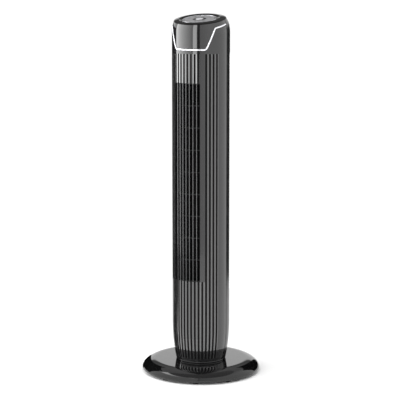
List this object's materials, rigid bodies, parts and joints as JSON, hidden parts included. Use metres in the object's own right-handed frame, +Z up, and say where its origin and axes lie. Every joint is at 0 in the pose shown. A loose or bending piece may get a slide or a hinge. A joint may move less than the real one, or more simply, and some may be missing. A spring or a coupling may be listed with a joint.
{
  "type": "tower fan",
  "caption": "Slim cylindrical tower fan with a ribbed front, a barred outlet window, a sloping round control top with keys, a chrome trim, and a round weighted base it swings on.",
  "frame": {"origin": "centre of the base on the floor", "axes": "+Z up along the swivel axis; the front, with its trim and window, faces -Y; +X is to the right seen from the front"},
  "size_m": [0.336, 0.3359, 1.0166],
  "materials": {
    "gloss_black": "high-gloss moulded black, mirror-like",
    "rear_black": "semi-gloss moulded black",
    "matte_black": "fine-textured moulded black",
    "bright_chrome": "bright plated",
    "silver_plastic": "satin silver with a fine turned grain",
    "steel": "zinc-plated, dull",
    "nylon": "natural white, waxy",
    "black_rubber": "matte",
    "circuit_board": "green solder mask"
  },
  "bodies": {
    "base": {"base_cover": "gloss_black", "base_plate": "matte_black", "ballast_ring": "steel", "foot_01": "black_rubber", "foot_02": "black_rubber", "foot_03": "black_rubber", "foot_04": "black_rubber", "foot_05": "black_rubber", "foot_06": "black_rubber", "foot_07": "black_rubber", "foot_08": "black_rubber", "foot_09": "black_rubber", "foot_10": "black_rubber", "cord_gland": "black_rubber", "base_screw_1": "steel", "base_screw_2": "steel", "base_screw_3": "steel", "turntable_dish": "matte_black", "glide_ring": "nylon", "pivot_nut": "steel"},
    "tower": {"bottom_cap": "gloss_black", "swing_motor": "steel", "front_shell": "gloss_black", "outlet_grid": "matte_black", "head_panel": "gloss_black", "chrome_trim": "bright_chrome", "rear_housing": "rear_black", "housing_screw_1": "steel", "housing_screw_2": "steel", "housing_screw_3": "steel", "housing_screw_4": "steel", "inlet_grille": "matte_black", "handle_pocket": "matte_black", "top_ring": "gloss_black", "control_bezel": "bright_chrome", "control_panel": "silver_plastic", "display_ring": "gloss_black", "control_board": "circuit_board", "blower_motor": "steel", "upper_bearing": "steel", "motor_plate": "matte_black", "bearing_plate": "matte_black", "duct_scroll": "matte_black", "duct_tongue": "matte_black", "run_capacitor": "rear_black", "power_board": "circuit_board"},
    "rotor": {"impeller": "matte_black", "impeller_shaft": "steel"},
    "crank": {"crank": "nylon"},
    "power_key": {"power_key": "silver_plastic"},
    "timer_key": {"timer_key": "silver_plastic"},
    "swing_key": {"swing_key": "silver_plastic"},
    "speed_key": {"speed_key": "silver_plastic"},
    "mode_key": {"mode_key": "silver_plastic"}
  },
  "joints": [
    {"name": "oscillation", "type": "hinge", "parent": "base", "child": "tower", "pos_m": [0, 0, 0.0365], "axis": [0, 0, 1], "range_deg": [-35, 35]},
    {"name": "rotor_spin", "type": "hinge", "parent": "tower", "child": "rotor", "pos_m": [0, 0.012, 0.55], "axis": [0, 0, 1], "continuous": true},
    {"name": "crank_turn", "type": "hinge", "parent": "tower", "child": "crank", "pos_m": [0, 0.034, 0.029], "axis": [0, 0, 1], "range_deg": [-105, 105]},
    {"name": "power_key_press", "type": "slide", "parent": "tower", "child": "power_key", "axis": [0, 0.1736, -0.9848], "range_m": [0, 0.0012], "stiffness_N_per_m": 600},
    {"name": "timer_key_press", "type": "slide", "parent": "tower", "child": "timer_key", "axis": [0, 0.1736, -0.9848], "range_m": [0, 0.001], "stiffness_N_per_m": 600},
    {"name": "swing_key_press", "type": "slide", "parent": "tower", "child": "swing_key", "axis": [0, 0.1736, -0.9848], "range_m": [0, 0.001], "stiffness_N_per_m": 600},
    {"name": "speed_key_press", "type": "slide", "parent": "tower", "child": "speed_key", "axis": [0, 0.1736, -0.9848], "range_m": [0, 0.001], "stiffness_N_per_m": 600},
    {"name": "mode_key_press", "type": "slide", "parent": "tower", "child": "mode_key", "axis": [0, 0.1736, -0.9848], "range_m": [0, 0.001], "stiffness_N_per_m": 600}
  ],
  "couplings": [
    {"joint": "crank_turn", "follows": "oscillation", "ratio": -2.98}
  ]
}
